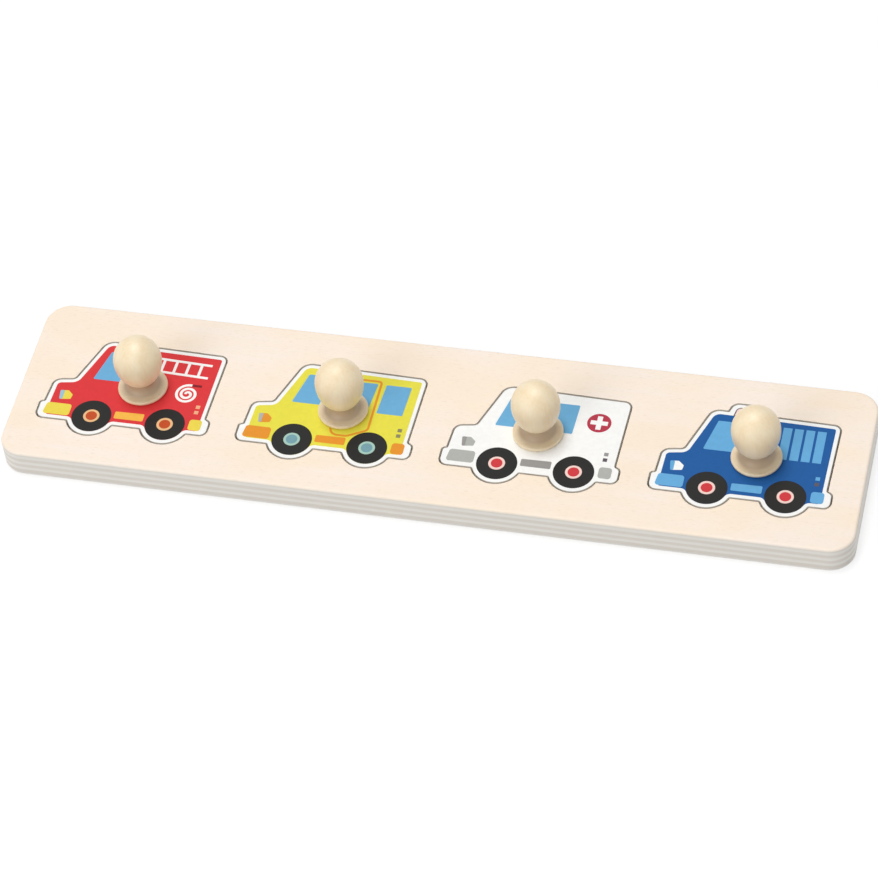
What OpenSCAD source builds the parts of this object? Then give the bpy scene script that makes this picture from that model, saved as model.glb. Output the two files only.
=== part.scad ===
// Peg puzzle: a plywood tray with four printed vehicles, each lifted out by a turned knob.
// The origin is the middle of the tray's underside. X runs along the tray, Y to its back
// edge, and Z up. A vehicle is drawn from the centre of its front wheel.

/* [Tray] */
// Thickness of the frame panel, which the vehicle openings go through
frame_t = 6.5; // [5:0.1:9]
// Thickness of the backing panel, which closes the openings from below
backing_t = 3.8; // [2.6:0.1:6]
// Wood to the left of the first opening
left_margin = 9; // [5:0.1:16]
// Wood to the right of the last opening
right_margin = 9.9; // [5:0.1:16]
// Wood in front of the openings
front_margin = 11.9; // [7:0.1:18]
// Wood behind the tallest opening
back_margin = 11.4; // [7:0.1:18]
// Wood between two openings
web_w = 9.7; // [5:0.1:16]
// Radius of the tray's corners, seen from above
corner_r = 9; // [5:0.1:12]
// Rounding of the tray's upper outer edge
top_edge_r = 1; // [0.5:0.1:2]
// Rounding of the tray's lower outer edge
base_edge_r = 0.3; // [0.1:0.1:1]

/* [Vehicles] */
// From the front bumper to the front wheel's centre
front_overhang = 19.65; // [16:0.05:24]
// Between the wheels' centres
wheelbase = 26.8; // [22:0.1:32]
// From the rear wheel's centre to the rear bumper
rear_overhang = 15.15; // [12:0.05:19]
// From the body's lower edge up to its roof
body_h = 37.3; // [31:0.1:45]
// From the wheels' centres down to the body's lower edge
sill_drop = 2.75; // [2.2:0.05:3.4]
// Radius of a printed tyre
tyre_r = 7.1; // [5.8:0.1:8.6]
// Radius of the ring round a hub
hub_ring_r = 2.9; // [2.4:0.1:3.5]
// Radius of a hub's middle
hub_r = 2; // [1.6:0.1:2.4]
// White edge left round each picture
border_w = 1.35; // [1:0.05:1.8]
// Thickness of the white ground under the inks
ground_t = 0.15; // [0.1:0.01:0.3]
// Thickness of one ink; later inks lie on earlier ones
ink_t = 0.05; // [0.03:0.01:0.1]
// Gap all round between a vehicle and its opening
fit_gap = 0.7; // [0.4:0.05:1]
// Height of the blue truck's roof beacon
beacon_h = 3.9; // [3:0.1:5]

/* [Picture details] */
// Width of the ladder's rails and rungs
ladder_bar_w = 1; // [0.7:0.05:1.2]
// Length of the rails past the outer rungs
ladder_end = 3.2; // [2.4:0.1:4]
// Number of rungs on the ladder
rungs = 4; // [3:1:6]
// Radius of the coiled hose
hose_r = 4.7; // [3.8:0.1:5.4]
// Width of the hose line
hose_w = 1; // [0.7:0.05:1.2]
// Width of the yellow van's door line
door_line_w = 0.8; // [0.6:0.05:1.1]
// Width of the dark line round the blue truck's beacon
beacon_line_w = 0.4; // [0.3:0.05:0.6]
// Radius of the disc on the ambulance
disc_r = 4.2; // [3.4:0.1:5]
// Width of the white cross's arms
cross_w = 1.8; // [1.4:0.1:2.2]
// Number of slats on the blue truck
slats = 5; // [3:1:7]
// Gap between two slats
slat_gap = 0.9; // [0.6:0.05:1.2]
// Side of a tail lamp
tail_lamp_w = 1.5; // [1.2:0.1:1.8]

/* [Knobs] */
// Height of a knob above the picture
knob_h = 23.8; // [18:0.1:28]
// Diameter of the knob's egg at its widest
egg_d = 17; // [13:0.1:20]
// Height of the egg's widest ring above the picture
egg_z = 14.7; // [12:0.1:17]
// Diameter of the knob's foot
foot_d = 17.7; // [14:0.1:21]
// Thickness of the foot's rounded rim
foot_t = 1.6; // [1.2:0.1:2]
// Diameter of the neck between the foot and the egg
neck_d = 9.2; // [7.6:0.1:11]
// Height of the neck above the picture
neck_z = 5.2; // [4.2:0.1:6.2]

/* [Screws] */
// Length of a screw
screw_l = 14; // [11:0.1:17]
// Outer diameter of its thread
screw_d = 3; // [2.5:0.1:3.6]
// Depth of the thread
thread_h = 0.4; // [0.3:0.05:0.5]
// Distance from one thread to the next
thread_pitch = 1.2; // [1:0.05:1.4]
// Diameter of its countersunk head
head_d = 6; // [5:0.1:7.2]
// How far the head lies below the block's underside
head_sink = 0.4; // [0.2:0.05:0.5]
// Length of the cross recess in the head
recess_l = 2.8; // [2.2:0.1:3.4]
// Width of the cross recess
recess_w = 0.8; // [0.6:0.05:1]
// Depth of the cross recess
recess_h = 1; // [0.8:0.05:1.2]
// Clearance round the screw in the block and in the knob
screw_gap = 0.05; // [0.02:0.01:0.1]
// Empty depth past the screw's tip in the knob
tip_room = 1; // [0.5:0.1:1.5]

/* [Hidden] */
$fn = 96;
// Degrees from one point of a rounded corner to the next
arc_step = 12;
// Corners that turn by more than this are arcs of a wheel's arch, which keep their radius
arch_turn = 100;
// How far a cut runs past the face it opens
overrun = 1;

vehicles = 4;
fire_engine = 0;
yellow_van = 1;
ambulance = 2;
blue_truck = 3;

vehicle_l = front_overhang + wheelbase + rear_overhang;
arch_r = tyre_r + border_w;
opening_l = vehicle_l + 2 * fit_gap;
tray_l = left_margin + vehicles * opening_l + (vehicles - 1) * web_w + right_margin;
tray_d = front_margin + fit_gap + arch_r - sill_drop + body_h + beacon_h + fit_gap + back_margin;
tray_t = backing_t + frame_t;
block_t = frame_t - ground_t - ink_t;
print_z = backing_t + block_t;
pitch = opening_l + web_w;
first_x = left_margin + fit_gap + front_overhang - tray_l / 2;
wheel_y = front_margin + fit_gap + arch_r - tray_d / 2;

head_h = (head_d - screw_d) / 2;
screw_z = backing_t + head_sink;
pilot_h = screw_z + screw_l + tip_room - tray_t;

wood = "#F7E6CF";
wood_shade = "#E6D3B8";
knob_wood = "#EBD3A6";
steel = "#B9BCC0";
white = "#FCFAF5";
tyre_black = "#2D2A2B";
window_blue = "#6EB0DB";
fire_red = "#E0444A";
bumper_yellow = "#F0DA50";
amber = "#F7BD4C";
van_yellow = "#EFE34C";
orange = "#EC8A2C";
peach = "#F4B48A";
hub_cream = "#F2C892";
hub_rust = "#CB5228";
hub_mint = "#B4D2C6";
hub_teal = "#76A6B4";
hub_pink = "#F8D8CF";
hub_red = "#D23F45";
disc_red = "#B8364A";
grey = "#B4B5B0";
middle_grey = "#9A9896";
dark_grey = "#6A646A";
olive = "#8E8A62";
truck_blue = "#235CA3";
pale_blue = "#68AEDF";
nozzle_red = "#7E1420";

// Outline of a vehicle without its wheels, anticlockwise from the front bumper's lower corner:
// along the length, up the body, and the corner's radius as a share of the body's height
bumper_shares = [[0, 0, 0.066]];
rear_shares = [[1, 0, 0.06], [1, 0.157, 0.042], [0.968, 0.189, 0.031], [0.98, 0.973, 0.06]];
front_shares = [[0.263, 1.004, 0.114], [0.154, 0.497, 0.063], [0.036, 0.466, 0.076],
                [0.025, 0.189, 0.031], [0, 0.183, 0.039]];
// Sides of the painted area, which leaves the bumpers' steps out, and the corners' radius
painted_shares = [0.025, 0.968, 0.06];
// Left end of the beacon at the roof and at its top, right end at the top and at the roof
beacon_shares = [0.352, 0.373, 0.507, 0.528];
// Radius of the beacon's lower and upper corners, as shares of the body's height
beacon_corner_shares = [0.02, 0.09];
// How far round a wheel's arch its arc runs on each side, in degrees
arch_angle = 62;
arch_fillet_share = 0.12;

// Corners of the picture's patches: along the length and up the body
front_bumper_shares = [[0.028, 0.044], [0.186, 0.044], [0.186, 0.184], [0.04, 0.184]];
sill_shares = [[0.449, 0.076], [0.621, 0.076], [0.621, 0.165], [0.449, 0.16]];
rear_bumper_shares = [[0.89, 0.039], [0.963, 0.039], [0.963, 0.17], [0.89, 0.17]];
lamp_shares = [[0.098, 0.234], [0.163, 0.249], [0.168, 0.303], [0.137, 0.351], [0.088, 0.344]];
lamp_glass_shares = [[0.098, 0.234], [0.115, 0.238], [0.115, 0.348], [0.088, 0.344]];
tail_lamp_shares = [[0.91, 0.326], [0.91, 0.259]];
cab_window_shares = [[0.251, 0.527], [0.473, 0.527], [0.473, 0.883], [0.304, 0.883]];
van_window_shares = [[0.543, 0.535], [0.696, 0.535], [0.712, 0.859], [0.543, 0.859]];
van_rear_window_shares = [[0.748, 0.503], [0.899, 0.503], [0.908, 0.857], [0.761, 0.857]];
ambulance_window_shares = [[0.53, 0.524], [0.692, 0.524], [0.7, 0.875], [0.53, 0.875]];
slat_area_shares = [[0.606, 0.507], [0.91, 0.887]];
ladder_area_shares = [[0.565, 0.7], [0.909, 0.884]];
// How far the ladder leans down towards the rear, in degrees
ladder_lean = 2.3;
hose_place_shares = [0.821, 0.469];
hose_turns = 2.25;
// Left and right end of the nozzle along the length
nozzle_shares = [0.835, 0.892];
disc_place_shares = [0.828, 0.69];
cross_share = 0.72;
// Corner radius of a patch as a share of the body's height
patch_corner_share = 0.013;
bumper_corner_share = 0.03;
// Corners of the door line: along the length, up the body, and the corner's radius as a share
// of the body's height
door_shares = [[0.517, 0.188, 0.08], [0.618, 0.188, 0.08], [0.729, 0.285, 0.05],
               [0.729, 0.89, 0.03], [0.517, 0.89, 0.03]];

// Place of each knob along its vehicle and up the body
knob_shares = [[0.558, 0.49], [0.56, 0.485], [0.503, 0.49], [0.556, 0.484]];
// How far the cove above the foot draws in from the rim, as a share of the foot's overhang
cove_share = 0.86;
// Angle at which the rim's rounding gives way to the cove
rim_angle = 60;
// Where a thread's flank starts, crests and ends, as shares of the pitch
thread_shares = [0.25, 0.5, 0.75];

function along(share) = share * vehicle_l - front_overhang;
function up(share) = share * body_h - sill_drop;
function unit(v) = v / norm(v);
function turn(u, v) = atan2(u.x * v.y - u.y * v.x, u * v);
function spin(v, angle) = [v.x * cos(angle) - v.y * sin(angle), v.x * sin(angle) + v.y * cos(angle)];
function left_of(v) = [-v.y, v.x];
function flat(p) = [p.x, p.y];

// One corner [x, y, radius] of an anticlockwise outline, rounded, with its sides moved out by grow
function corner_points(before, corner, after, grow) =
    let (u = unit(flat(corner) - flat(before)), v = unit(flat(after) - flat(corner)),
         bend = turn(u, v), side = sign(bend),
         tip = flat(corner) - grow * (left_of(u) + left_of(v)) / (1 + u * v),
         reach = min(norm(flat(corner) - flat(before)), norm(flat(after) - flat(corner))),
         drawn = abs(bend) > arch_turn ? corner.z : min(corner.z, reach / 2 / tan(abs(bend) / 2)),
         r = max(0, drawn + side * grow),
         steps = r > 0 ? max(1, ceil(abs(bend) / arc_step)) : 0,
         start = tip - u * r * tan(abs(bend) / 2),
         middle = start + side * r * left_of(u))
    [for (k = [0 : steps]) middle - side * r * spin(left_of(u), k * bend / max(steps, 1))];

function rounded(corners, grow = 0) =
    let (n = len(corners))
    [for (i = [0 : n - 1])
        each corner_points(corners[(i + n - 1) % n], corners[i], corners[(i + 1) % n], grow)];

// The three corners of a wheel's arch: a fillet into the sill, the arc itself, and a fillet out
function arch_corners(hub_x) =
    let (foot_x = arch_r * sin(arch_angle), foot_y = arch_r * cos(arch_angle),
         join_x = foot_x + (foot_y - sill_drop) / tan(arch_angle))
    [[hub_x - join_x, -sill_drop, arch_fillet_share * arch_r],
     [hub_x, -arch_r / cos(arch_angle), arch_r],
     [hub_x + join_x, -sill_drop, arch_fillet_share * arch_r]];

function body_corners(shares) = [for (s = shares) [along(s.x), up(s.y), s.z * body_h]];

// Height of the roof line above the wheels at a place along the vehicle
function roof_y(share) =
    let (a = rear_shares[3], b = front_shares[0])
    up(a.y + (b.y - a.y) * (a.x - share) / (a.x - b.x));

// The beacon's corners, its feet lowered from the roof line by the given amount
function beacon_corners(lowered = 0) =
    let (s = beacon_shares, foot = beacon_corner_shares[0] * body_h,
         top = beacon_corner_shares[1] * body_h, top_y = up(1) + beacon_h)
    [[along(s[3]), roof_y(s[3]) - lowered, foot], [along(s[2]), top_y, top],
     [along(s[1]), top_y, top], [along(s[0]), roof_y(s[0]) - lowered, foot]];

function vehicle_corners(i) =
    concat(body_corners(bumper_shares), arch_corners(0), arch_corners(wheelbase),
           body_corners(rear_shares), i == blue_truck ? beacon_corners() : [],
           body_corners(front_shares));

module outline(i, grow = 0) {
    polygon(rounded(vehicle_corners(i), grow));
}

// Puts children where vehicle i stands in the tray
module at_vehicle(i) {
    translate([first_x + i * pitch, wheel_y, 0]) children();
}

module at_knob(i) {
    at_vehicle(i) at_foot(i) children();
}

// A panel of the tray whose upper outer edge is rounded; mirrored for a rounded lower edge
module rounded_slab(t, r) {
    x = tray_l / 2 - corner_r;
    y = tray_d / 2 - corner_r;
    translate([-x, -tray_d / 2, 0]) cube([2 * x, tray_d, t - r]);
    translate([-tray_l / 2, -y, 0]) cube([tray_l, 2 * y, t - r]);
    translate([-x, -tray_d / 2 + r, 0]) cube([2 * x, tray_d - 2 * r, t]);
    translate([-tray_l / 2 + r, -y, 0]) cube([tray_l - 2 * r, 2 * y, t]);
    for (sx = [-1, 1], sy = [-1, 1])
        translate([sx * x, sy * y, 0]) rounded_corner(t, r);
    for (sy = [-1, 1])
        translate([-x, sy * (tray_d / 2 - r), t - r])
            rotate([0, 90, 0]) cylinder(r = r, h = 2 * x);
    for (sx = [-1, 1])
        translate([sx * (tray_l / 2 - r), -y, t - r])
            rotate([-90, 0, 0]) cylinder(r = r, h = 2 * y);
}

module rounded_corner(t, r) {
    rotate_extrude() {
        square([corner_r - r, t]);
        square([corner_r, t - r]);
        translate([corner_r - r, t - r]) intersection() {
            circle(r = r);
            square([r, r]);
        }
    }
}

module patch(shares, corner_share = patch_corner_share) {
    polygon(rounded([for (s = shares) [along(s.x), up(s.y), corner_share * body_h]]));
}

// The coloured area of a vehicle: its outline without bumpers, drawn in by the white edge
module painted() {
    r = painted_shares[2] * body_h;
    corners = concat([[along(painted_shares[0]), up(0), r]], arch_corners(0), arch_corners(wheelbase),
                     [[along(painted_shares[1]), up(0), r]],
                     body_corners([rear_shares[3], front_shares[0], front_shares[1], front_shares[2]]));
    polygon(rounded(corners, -border_w));
}

module bumpers() {
    patch(front_bumper_shares, bumper_corner_share);
    patch(rear_bumper_shares, bumper_corner_share);
}

module tail_lamp(s) {
    translate([along(s.x), up(s.y)]) square([tail_lamp_w, tail_lamp_w], center = true);
}

module ladder() {
    x0 = along(ladder_area_shares[0].x);
    x1 = along(ladder_area_shares[1].x);
    y0 = up(ladder_area_shares[0].y);
    y1 = up(ladder_area_shares[1].y);
    step = (x1 - x0 - ladder_bar_w - 2 * ladder_end) / (rungs - 1);
    translate([x0, y0]) rotate(-ladder_lean) {
        for (y = [0, y1 - y0 - ladder_bar_w]) translate([0, y]) square([x1 - x0, ladder_bar_w]);
        for (k = [0 : rungs - 1])
            translate([ladder_end + k * step, 0]) square([ladder_bar_w, y1 - y0]);
    }
}

// A flat coil of hose, wound outwards from its middle, whose end runs straight to the nozzle
module hose() {
    steps = ceil(hose_turns * 360 / arc_step);
    r0 = hose_w / 2;
    r1 = hose_r - hose_w / 2;
    function at(k, off) =
        let (part = k / steps, angle = 90 + 360 * hose_turns * (1 - part), r = r0 + (r1 - r0) * part + off)
        [r * cos(angle), r * sin(angle)];
    translate([along(hose_place_shares[0]), up(hose_place_shares[1])]) {
        polygon(concat([for (k = [0 : steps]) at(k, hose_w / 2)],
                       [for (k = [steps : -1 : 0]) at(k, -hose_w / 2)]));
        translate([0, r1 - hose_w / 2])
            square([along(nozzle_shares[0]) - along(hose_place_shares[0]), hose_w]);
    }
}

module nozzle() {
    x0 = along(nozzle_shares[0]);
    translate([x0, up(hose_place_shares[1]) + hose_r - hose_w])
        square([along(nozzle_shares[1]) - x0, hose_w]);
}

module door_line() {
    difference() {
        polygon(rounded(body_corners(door_shares), door_line_w / 2));
        polygon(rounded(body_corners(door_shares), -door_line_w / 2));
    }
}

module disc() {
    translate([along(disc_place_shares[0]), up(disc_place_shares[1])]) circle(r = disc_r);
}

module cross() {
    arm = 2 * disc_r * cross_share;
    translate([along(disc_place_shares[0]), up(disc_place_shares[1])]) {
        square([arm, cross_w], center = true);
        square([cross_w, arm], center = true);
    }
}

module slat_row() {
    x0 = along(slat_area_shares[0].x);
    y0 = up(slat_area_shares[0].y);
    step = (along(slat_area_shares[1].x) - x0 + slat_gap) / slats;
    for (k = [0 : slats - 1])
        translate([x0 + k * step, y0]) square([step - slat_gap, up(slat_area_shares[1].y) - y0]);
}

// The beacon's lamp, which stands on the painted roof, drawn in by the given amount
module beacon_lamp(inset = 0) {
    polygon(rounded(beacon_corners(2 * border_w), -border_w - inset));
}

module at_foot(i) {
    translate([along(knob_shares[i].x), up(knob_shares[i].y)]) children();
}

// A patch of the printed layer of vehicle i, so many inks thick over the white ground. The
// knob's foot stands on the first ink, so thicker patches stop at the foot.
module ink(i, shade, inks) {
    color(shade)
        translate([0, 0, print_z])
            linear_extrude(height = ground_t + inks * ink_t)
                difference() {
                    children();
                    at_foot(i) circle(d = inks > 1 ? foot_d : screw_d + 2 * screw_gap);
                }
}

// Both tyres with their hubs, the same on every vehicle but for the hubs' colours
module wheels(i, ring, middle) {
    ink(i, tyre_black, 2) wheel_pair(tyre_r);
    ink(i, ring, 3) wheel_pair(hub_ring_r);
    ink(i, middle, 4) wheel_pair(hub_r);
}

module wheel_pair(r) {
    for (x = [0, wheelbase]) translate([x, 0]) circle(r = r);
}

module backing_board() {
    color(wood_shade)
        translate([0, 0, backing_t]) mirror([0, 0, 1]) rounded_slab(backing_t, base_edge_r);
}

module frame_board() {
    color(wood)
        difference() {
            translate([0, 0, backing_t]) rounded_slab(frame_t, top_edge_r);
            for (i = [0 : vehicles - 1])
                at_vehicle(i) translate([0, 0, backing_t - overrun])
                    linear_extrude(height = frame_t + 2 * overrun) outline(i, fit_gap);
        }
}

// The plywood block of vehicle i, with the countersunk hole of its screw
module block(i) {
    color(wood)
        difference() {
            at_vehicle(i) translate([0, 0, backing_t])
                linear_extrude(height = block_t) outline(i);
            at_knob(i) translate([0, 0, backing_t]) screw_hole();
        }
}

module screw_hole() {
    r = screw_d / 2 + screw_gap;
    head_r = head_d / 2 + screw_gap;
    translate([0, 0, -overrun]) {
        cylinder(r = r, h = block_t + 2 * overrun);
        cylinder(r = head_r, h = overrun + head_sink);
    }
    translate([0, 0, head_sink]) cylinder(r1 = head_r, r2 = r, h = head_r - r);
}

// Outline of half a knob: the rounded rim of the foot, the cove, the neck and the egg
function knob_profile() =
    let (rim = foot_t / 2, foot_r = foot_d / 2, neck_r = neck_d / 2, egg_r = egg_d / 2,
         shoulder = foot_r - rim * (1 - cos(rim_angle)),
         shoulder_z = rim + rim * sin(rim_angle),
         drop = egg_z - neck_z,
         lower = drop / sqrt(1 - pow(neck_r / egg_r, 2)))
    concat([[0, 0]],
           [for (a = [-90 : 15 : rim_angle]) [foot_r - rim + rim * cos(a), rim + rim * sin(a)]],
           [for (a = [15 : 15 : 90])
               [neck_r + (shoulder - neck_r) * (1 - sin(a)) * cove_share,
                shoulder_z + (neck_z - shoulder_z) * (1 - cos(a))]],
           [for (k = [1 : 9])
               let (z = neck_z + drop * k / 9)
               [egg_r * sqrt(1 - pow((egg_z - z) / lower, 2)), z]],
           [for (a = [9 : 9 : 90]) [egg_r * cos(a), egg_z + (knob_h - egg_z) * sin(a)]]);

module knob(i) {
    color(knob_wood)
        at_knob(i) translate([0, 0, tray_t]) difference() {
            rotate_extrude() polygon(knob_profile());
            translate([0, 0, -overrun])
                cylinder(r = screw_d / 2 + screw_gap, h = pilot_h + overrun);
        }
}

// Half the outline of a screw: the head's cone, the threaded shank and the point
function screw_profile() =
    let (r = screw_d / 2, tip_h = screw_d, body = screw_l - head_h - tip_h,
         ridges = floor(body / thread_pitch), z0 = screw_l - tip_h - ridges * thread_pitch)
    concat([[0, 0], [head_d / 2, 0], [r, head_h]],
           [for (k = [0 : ridges - 1], j = [0 : 2])
               [j == 1 ? r : r - thread_h, z0 + (k + thread_shares[j]) * thread_pitch]],
           [[r - thread_h, screw_l - tip_h], [0, screw_l]]);

module screw(i) {
    color(steel)
        at_knob(i) translate([0, 0, screw_z]) difference() {
            rotate_extrude() polygon(screw_profile());
            for (turn_by = [0, 90])
                rotate([0, 0, turn_by])
                    translate([-recess_l / 2, -recess_w / 2, -overrun])
                        cube([recess_l, recess_w, recess_h + overrun]);
        }
}

module fire_engine_print() {
    at_vehicle(fire_engine) {
        ink(fire_engine, white, 0) outline(fire_engine);
        ink(fire_engine, fire_red, 1) painted();
        ink(fire_engine, bumper_yellow, 2) bumpers();
        ink(fire_engine, amber, 2) patch(sill_shares);
        ink(fire_engine, window_blue, 2) patch(cab_window_shares);
        ink(fire_engine, white, 2) ladder();
        ink(fire_engine, white, 2) hose();
        ink(fire_engine, nozzle_red, 2) nozzle();
        ink(fire_engine, bumper_yellow, 2) patch(lamp_shares);
        ink(fire_engine, pale_blue, 3) patch(lamp_glass_shares);
        ink(fire_engine, peach, 2) for (s = tail_lamp_shares) tail_lamp(s);
        wheels(fire_engine, hub_cream, hub_rust);
    }
}

module yellow_van_print() {
    at_vehicle(yellow_van) {
        ink(yellow_van, white, 0) outline(yellow_van);
        ink(yellow_van, van_yellow, 1) painted();
        ink(yellow_van, orange, 2) bumpers();
        ink(yellow_van, orange, 2) patch(sill_shares);
        ink(yellow_van, window_blue, 2) patch(cab_window_shares);
        ink(yellow_van, window_blue, 2) patch(van_window_shares);
        ink(yellow_van, window_blue, 2) patch(van_rear_window_shares);
        ink(yellow_van, orange, 2) door_line();
        ink(yellow_van, orange, 2) patch(lamp_shares);
        ink(yellow_van, grey, 3) patch(lamp_glass_shares);
        ink(yellow_van, olive, 2) for (s = tail_lamp_shares) tail_lamp(s);
        wheels(yellow_van, hub_mint, hub_teal);
    }
}

module ambulance_print() {
    at_vehicle(ambulance) {
        ink(ambulance, white, 0) outline(ambulance);
        ink(ambulance, white, 1) painted();
        ink(ambulance, grey, 2) bumpers();
        ink(ambulance, middle_grey, 2) patch(sill_shares);
        ink(ambulance, window_blue, 2) patch(cab_window_shares);
        ink(ambulance, window_blue, 2) patch(ambulance_window_shares);
        ink(ambulance, disc_red, 2) disc();
        ink(ambulance, white, 3) cross();
        ink(ambulance, grey, 2) patch(lamp_shares);
        ink(ambulance, middle_grey, 3) patch(lamp_glass_shares);
        ink(ambulance, middle_grey, 2) tail_lamp(tail_lamp_shares[0]);
        ink(ambulance, dark_grey, 2) tail_lamp(tail_lamp_shares[1]);
        wheels(ambulance, hub_pink, hub_red);
    }
}

module blue_truck_print() {
    at_vehicle(blue_truck) {
        ink(blue_truck, white, 0) outline(blue_truck);
        ink(blue_truck, truck_blue, 1) painted();
        ink(blue_truck, dark_grey, 2) beacon_lamp();
        ink(blue_truck, hub_pink, 3) beacon_lamp(beacon_line_w);
        ink(blue_truck, pale_blue, 2) bumpers();
        ink(blue_truck, pale_blue, 2) patch(sill_shares);
        ink(blue_truck, pale_blue, 2) patch(cab_window_shares);
        ink(blue_truck, pale_blue, 2) slat_row();
        ink(blue_truck, white, 2) patch(lamp_shares);
        ink(blue_truck, pale_blue, 3) patch(lamp_glass_shares);
        ink(blue_truck, pale_blue, 2) tail_lamp(tail_lamp_shares[0]);
        ink(blue_truck, dark_grey, 2) tail_lamp(tail_lamp_shares[1]);
        wheels(blue_truck, hub_pink, hub_red);
    }
}

backing_board();
frame_board();
block(fire_engine);  // fire_engine_block
fire_engine_print();
knob(fire_engine);  // fire_engine_knob
screw(fire_engine);  // fire_engine_screw
block(yellow_van);  // yellow_van_block
yellow_van_print();
knob(yellow_van);  // yellow_van_knob
screw(yellow_van);  // yellow_van_screw
block(ambulance);  // ambulance_block
ambulance_print();
knob(ambulance);  // ambulance_knob
screw(ambulance);  // ambulance_screw
block(blue_truck);  // blue_truck_block
blue_truck_print();
knob(blue_truck);  // blue_truck_knob
screw(blue_truck);  // blue_truck_screw
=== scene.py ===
"""Looks of a peg puzzle: a plywood tray with four printed vehicles, each with a turned knob.

The tray is two plywood panels. A vehicle is a plywood block with a printed picture on top,
held to its knob by a countersunk screw from below. Sizes are in millimetres in the tray's own
frame: the origin is the middle of the underside, X runs along the tray, Y to its back edge and
Z up. A vehicle is drawn from the centre of its front wheel.
"""

from __future__ import annotations

import logging
import math
from dataclasses import dataclass, field
from enum import Enum

import bmesh
import bpy
from mathutils import Matrix, Vector
from mathutils.geometry import delaunay_2d_cdt

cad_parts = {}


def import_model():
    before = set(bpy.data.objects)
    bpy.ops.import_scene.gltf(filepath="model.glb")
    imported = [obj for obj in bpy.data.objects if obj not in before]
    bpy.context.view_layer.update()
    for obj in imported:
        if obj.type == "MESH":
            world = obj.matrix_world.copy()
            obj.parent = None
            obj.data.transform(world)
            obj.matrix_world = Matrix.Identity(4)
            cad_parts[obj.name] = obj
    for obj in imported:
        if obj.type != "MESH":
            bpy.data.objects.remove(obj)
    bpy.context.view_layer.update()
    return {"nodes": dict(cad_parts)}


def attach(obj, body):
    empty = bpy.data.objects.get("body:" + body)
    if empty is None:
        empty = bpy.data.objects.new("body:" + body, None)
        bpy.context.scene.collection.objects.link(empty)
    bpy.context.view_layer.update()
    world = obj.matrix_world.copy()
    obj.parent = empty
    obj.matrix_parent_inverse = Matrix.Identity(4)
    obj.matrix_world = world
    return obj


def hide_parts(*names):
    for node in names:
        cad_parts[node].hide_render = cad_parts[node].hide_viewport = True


LOG = logging.getLogger("peg_puzzle")
MM = 0.001

# Light and dark bands in one unit of Blender's wave texture at a scale of one, about 20 / pi
WAVE_BANDS = 6.3

# Points closer than this are one point, in a finished piece and in the cutting of a picture
SAME_POINT_MM = 1e-5
SAME_PRINT_POINT_MM = 1e-4

Pair = tuple[float, float]
Point = tuple[float, float]
Triple = tuple[float, float, float]
Shares = tuple[Point, ...]
Ring = list[bmesh.types.BMVert]
Triangle = tuple[int, int, int]
Material = bpy.types.Material
Node = bpy.types.Node
Object = bpy.types.Object
Socket = bpy.types.NodeSocket
Tree = bpy.types.NodeTree


# Colours and nodes


def srgb(hex_colour: str) -> tuple[float, float, float, float]:
    """Turns an sRGB hex colour into a linear one.

    Args:
        hex_colour: Six hex digits with a leading hash.

    Returns:
        Linear red, green, blue and an alpha of one.
    """
    channels = (int(hex_colour[i : i + 2], 16) / 255 for i in (1, 3, 5))
    red, green, blue = (
        c / 12.92 if c <= 0.04045 else ((c + 0.055) / 1.055) ** 2.4 for c in channels
    )
    return red, green, blue, 1.0


def add_node(tree: Tree, kind: str, inputs: dict | None = None, **settings: object) -> Node:
    """Adds a node with its settings, its values and its links.

    Args:
        tree: The node tree that gets the node.
        kind: Blender's name for the node's type, without its first word ShaderNode.
        inputs: For each input's name or number a value, the socket that feeds it, or the node
            whose first output in use feeds it.
        **settings: The node's own settings by name.

    Returns:
        The new node.
    """
    node = tree.nodes.new(f"ShaderNode{kind}")
    for name, value in settings.items():
        setattr(node, name, value)
    for key, value in (inputs or {}).items():
        if isinstance(value, Node):
            value = next(output for output in value.outputs if output.enabled)
        if isinstance(value, Socket):
            tree.links.new(value, node.inputs[key])
        else:
            node.inputs[key].default_value = value
    return node


def new_material(name: str) -> tuple[Material, Tree]:
    """Makes an empty node material.

    Args:
        name: The material's name.

    Returns:
        The material and its node tree.
    """
    material = bpy.data.materials.new(name)
    material.use_nodes = True
    material.node_tree.nodes.clear()
    return material, material.node_tree


def long_noise(tree: Tree, place: Socket, rates: Triple, width_mm: float, **look: float) -> Node:
    """Draws noise that is drawn out along an axis, as grain and tool marks are.

    Args:
        tree: The material's node tree.
        place: The place on the piece.
        rates: How fast it changes along X, Y and Z, where one is as fast as across a mark.
        width_mm: The width of a mark.
        **look: The noise's other inputs by name.

    Returns:
        The noise.
    """
    drawn_out = add_node(tree, "Mapping", {0: place, "Scale": rates})
    return add_node(tree, "TexNoise", {"Vector": drawn_out, "Scale": 1 / (width_mm * MM), **look})


@dataclass(frozen=True)
class Relief:
    """Fine relief of a surface: how strongly it turns the light, and how deep it is."""

    strength: float
    depth_mm: float

    def close(self, tree: Tree, height: Node | Socket, look: dict) -> None:
        """Ends a material with this relief, the shader and the output.

        Args:
            tree: The material's node tree.
            height: The height of the relief.
            look: The shader's other inputs.
        """
        inputs = {"Strength": self.strength, "Distance": self.depth_mm * MM, "Height": height}
        bump = add_node(tree, "Bump", inputs)
        shader = add_node(tree, "BsdfPrincipled", {**look, "Normal": bump})
        add_node(tree, "OutputMaterial", {0: shader})


# Outlines


@dataclass(frozen=True)
class Corner:
    """A corner of an outline and the radius that rounds it, in millimetres."""

    x: float
    y: float
    radius: float = 0.0


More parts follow.
